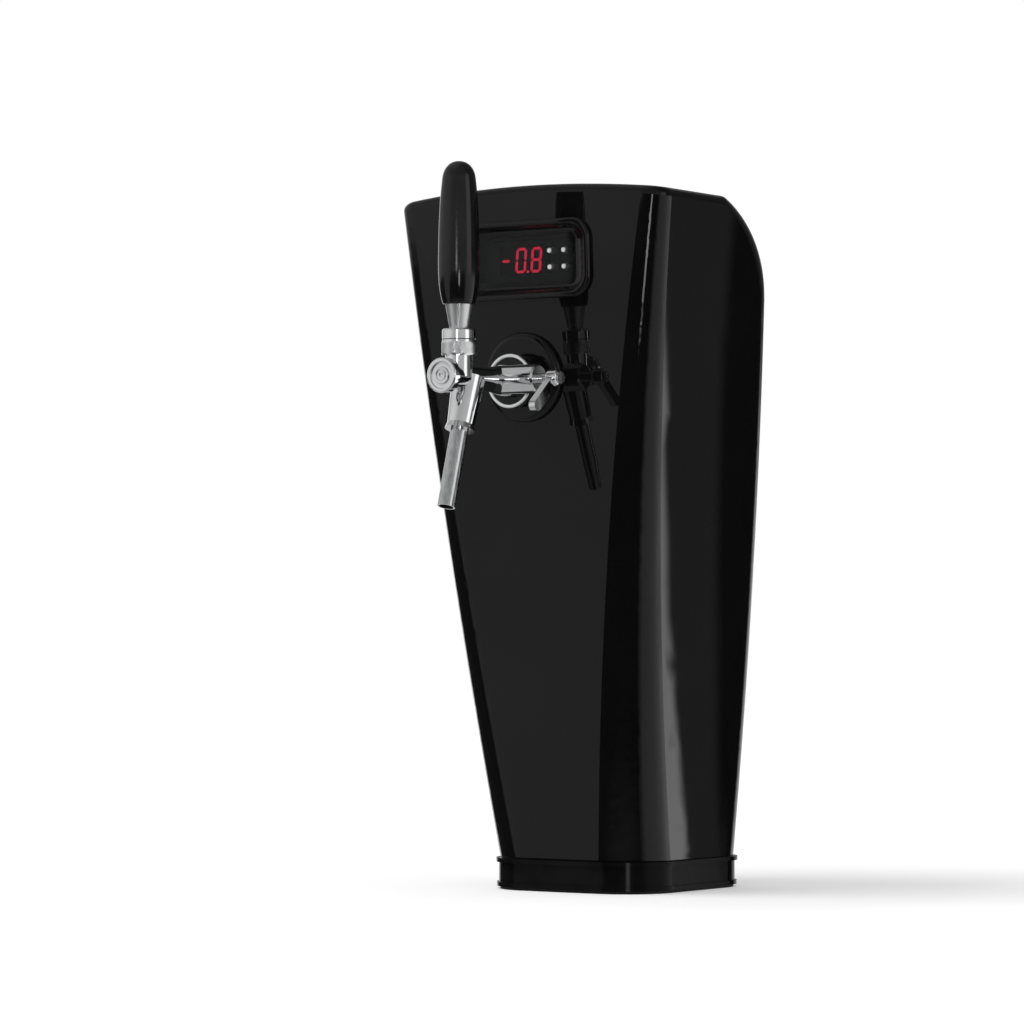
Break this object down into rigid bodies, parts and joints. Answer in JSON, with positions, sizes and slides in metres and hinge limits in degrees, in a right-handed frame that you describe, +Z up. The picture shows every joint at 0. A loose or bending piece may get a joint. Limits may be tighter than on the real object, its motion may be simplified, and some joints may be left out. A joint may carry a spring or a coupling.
{
  "type": "draft beer dispenser",
  "caption": "Counter-top draught tower with a flared gloss black shell, recessed thermostat display and a chrome lever tap with a tilted spout and a side flow compensator.",
  "frame": {"origin": "centre of the bolt pattern on the underside of the base gasket, on the counter", "axes": "+Z up; the tap points to -Y; +X is to the right of a person facing the tap"},
  "size_m": [0.2268, 0.2974, 0.5127],
  "materials": {
    "tower_black": "high gloss black moulding",
    "plinth_black": "satin gloss black moulding",
    "boss_black": "gloss black moulding",
    "bezel_black": "gloss black moulding",
    "handle_black": "polished black moulding",
    "tap_chrome": "bright chrome plate",
    "spout_steel": "polished stainless steel",
    "plate_steel": "plain zinc plated sheet",
    "screw_zinc": "bright zinc plate",
    "fitting_brass": "plain turned brass",
    "seal_rubber": "matt black rubber",
    "foam_grey": "closed cell foam",
    "hose_pale": "semi clear tube",
    "plug_white": "plain white moulding",
    "case_black": "fine matt black moulding",
    "module_grey": "dark grey moulding",
    "board_green": "green lacquered board",
    "terminal_green": "green moulding",
    "cable_grey": "grey sheath",
    "key_white": "white moulding",
    "window_smoke": "smoked clear window",
    "led_red": "lit red segments"
  },
  "bodies": {
    "tower": {"base_gasket": "seal_rubber", "base_plate": "plate_steel", "base_plinth": "plinth_black", "beer_line": "hose_pale", "cable_socket": "case_black", "cap_seal": "seal_rubber", "compensator_gland": "tap_chrome", "controller_cable": "cable_grey", "controller_case": "case_black", "controller_clips": "case_black", "digit_module": "module_grey", "display_bezel": "bezel_black", "display_board": "board_green", "display_window": "window_smoke", "front_cap": "tap_chrome", "inlet_union": "fitting_brass", "led_digits": "led_red", "line_sleeve": "foam_grey", "lower_collar": "tap_chrome", "pivot_pin": "spout_steel", "rear_cover": "tower_black", "rear_cover_screws": "screw_zinc", "shank_flange": "tap_chrome", "shank_nut": "fitting_brass", "shank_washer": "plate_steel", "shell_screws": "screw_zinc", "spindle_seal": "seal_rubber", "spout_seal": "seal_rubber", "spout_tube": "spout_steel", "tail_nut": "fitting_brass", "tail_piece": "fitting_brass", "tap_body": "tap_chrome", "tap_boss": "boss_black", "tap_shank": "spout_steel", "terminal_block": "terminal_green", "tower_shell": "tower_black", "union_nut": "fitting_brass"},
    "lever": {"lever_stem": "spout_steel", "upper_collar": "tap_chrome", "handle_ferrule": "tap_chrome", "tap_handle": "handle_black"},
    "spool": {"valve_spool": "spout_steel", "spool_seals": "seal_rubber"},
    "compensator": {"compensator_spindle": "spout_steel", "compensator_lever": "tap_chrome", "lever_screw": "spout_steel"},
    "plug": {"flow_plug": "plug_white"},
    "power_button": {"key_power": "key_white"},
    "set_button": {"key_set": "key_white"},
    "up_button": {"key_up": "key_white"},
    "down_button": {"key_down": "key_white"}
  },
  "joints": [
    {"name": "tap_lever", "type": "hinge", "parent": "tower", "child": "lever", "pos_m": [0, -0.19914, 0.381], "axis": [1, 0, 0], "range_deg": [-10, 20]},
    {"name": "spool_slide", "type": "slide", "parent": "tower", "child": "spool", "axis": [0, 1, 0], "range_m": [-0.0033, 0.0064]},
    {"name": "compensator_turn", "type": "hinge", "parent": "tower", "child": "compensator", "pos_m": [0, -0.14864, 0.363], "axis": [1, 0, 0], "range_deg": [-40, 40]},
    {"name": "plug_slide", "type": "slide", "parent": "tower", "child": "plug", "axis": [0, -1, 0], "range_m": [-0.0018, 0.0018]},
    {"name": "power_press", "type": "slide", "parent": "tower", "child": "power_button", "axis": [0, 0.9991, 0.0428], "range_m": [0, 0.0006], "stiffness_N_per_m": 800},
    {"name": "set_press", "type": "slide", "parent": "tower", "child": "set_button", "axis": [0, 0.9991, 0.0428], "range_m": [0, 0.0006], "stiffness_N_per_m": 800},
    {"name": "up_press", "type": "slide", "parent": "tower", "child": "up_button", "axis": [0, 0.9991, 0.0428], "range_m": [0, 0.0006], "stiffness_N_per_m": 800},
    {"name": "down_press", "type": "slide", "parent": "tower", "child": "down_button", "axis": [0, 0.9991, 0.0428], "range_m": [0, 0.0006], "stiffness_N_per_m": 800}
  ],
  "couplings": [
    {"joint": "spool_slide", "follows": "tap_lever", "m_per_rad": 0.0177},
    {"joint": "plug_slide", "follows": "compensator_turn", "m_per_rad": 0.00235}
  ]
}
